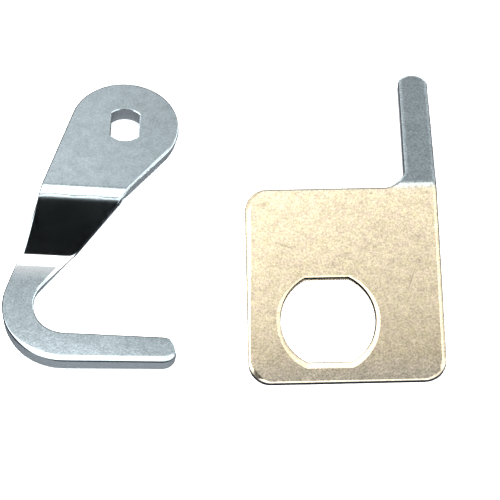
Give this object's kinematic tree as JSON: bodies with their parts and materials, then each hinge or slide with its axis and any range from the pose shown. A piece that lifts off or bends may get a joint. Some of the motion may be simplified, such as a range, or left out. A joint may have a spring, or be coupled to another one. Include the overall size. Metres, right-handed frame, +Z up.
{
  "type": "stair gate latch set",
  "caption": "Zinc-plated gate latch set: a joggled hook that turns on a lock's flatted spindle, and a square lock plate with a bent stop finger.",
  "frame": {"origin": "middle of the set's bounding box on the surface that both pieces lie on", "axes": "+Z up from that surface; +X from the hook towards the plate; +Y from the plate's lock hole towards its finger"},
  "size_m": [0.084, 0.0688, 0.0106],
  "materials": {
    "zinc_blue": "bright zinc plate on tumbled sheet steel, cool blue-grey, satin",
    "zinc_warm": "bright zinc plate with a faint straw passivate, finely mottled, satin"
  },
  "bodies": {
    "plate": {"stop_plate": "zinc_warm"},
    "hook": {"latch_hook": "zinc_blue"}
  },
  "joints": [
    {"name": "hook_turn", "type": "hinge", "parent": "plate", "child": "hook", "pos_m": [-0.0209, 0.01937, 0.00202], "axis": [0.1006, 0.1394, 0.9851], "range_deg": [-90, 0]}
  ]
}
